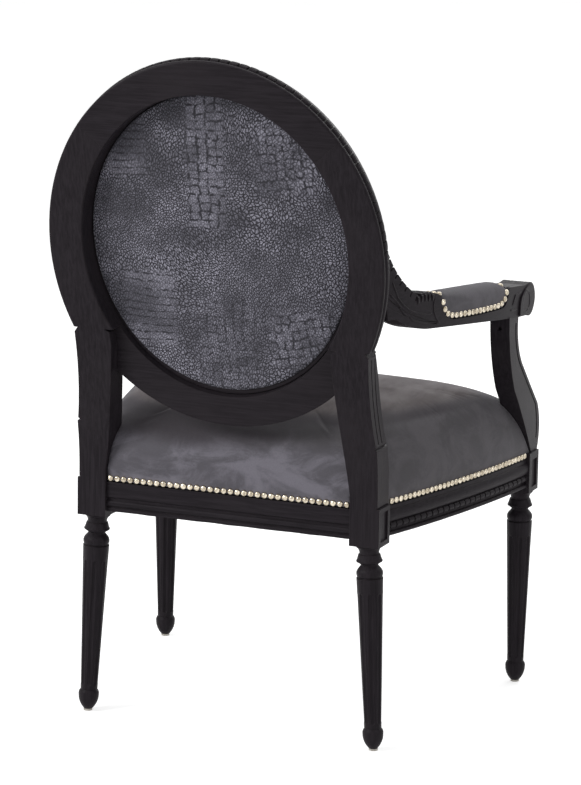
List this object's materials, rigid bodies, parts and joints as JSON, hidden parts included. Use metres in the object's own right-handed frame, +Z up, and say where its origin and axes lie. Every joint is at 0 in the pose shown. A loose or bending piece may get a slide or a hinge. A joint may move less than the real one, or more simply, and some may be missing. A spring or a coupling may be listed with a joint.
{
  "type": "open-arm oval-back armchair",
  "caption": "Open-arm chair with an oval framed back, black painted wood, grey velvet seat, back and arm pads, scrolled arms on swept supports and turned, fluted, tapering legs.",
  "frame": {"origin": "on the floor, under the middle of the chair's bounding box", "axes": "+Z up; the chair faces -Y; +X is the sitter's left"},
  "size_m": [0.6744, 0.6141, 1.0582],
  "materials": {
    "black_wood": "satin",
    "plain_wood": "matte",
    "seat_velvet": "velvet",
    "back_velvet": "embossed velvet",
    "foam": "matte",
    "webbing": "matte",
    "dust_cloth": "matte",
    "glide": "matte"
  },
  "bodies": {
    "root": {"arm_left": "black_wood", "arm_pad_left": "seat_velvet", "arm_pad_right": "seat_velvet", "arm_post_left": "black_wood", "arm_post_right": "black_wood", "arm_right": "black_wood", "back_board": "plain_wood", "back_rail": "black_wood", "back_webbing": "webbing", "crest_rail": "black_wood", "dust_cover": "dust_cloth", "front_corner_block_left": "plain_wood", "front_corner_block_right": "plain_wood", "front_glide_left": "glide", "front_glide_right": "glide", "front_leg_left": "black_wood", "front_leg_right": "black_wood", "front_rail": "black_wood", "inside_back_cover": "seat_velvet", "inside_back_foam": "foam", "lower_back_rail": "black_wood", "outside_back_cover": "back_velvet", "rear_corner_block_left": "plain_wood", "rear_corner_block_right": "plain_wood", "rear_glide_left": "glide", "rear_glide_right": "glide", "rear_stile_left": "black_wood", "rear_stile_right": "black_wood", "seat_cover": "seat_velvet", "seat_cross_webbing": "webbing", "seat_foam": "foam", "seat_long_webbing": "webbing", "side_rail_left": "black_wood", "side_rail_right": "black_wood"}
  },
  "joints": []
}
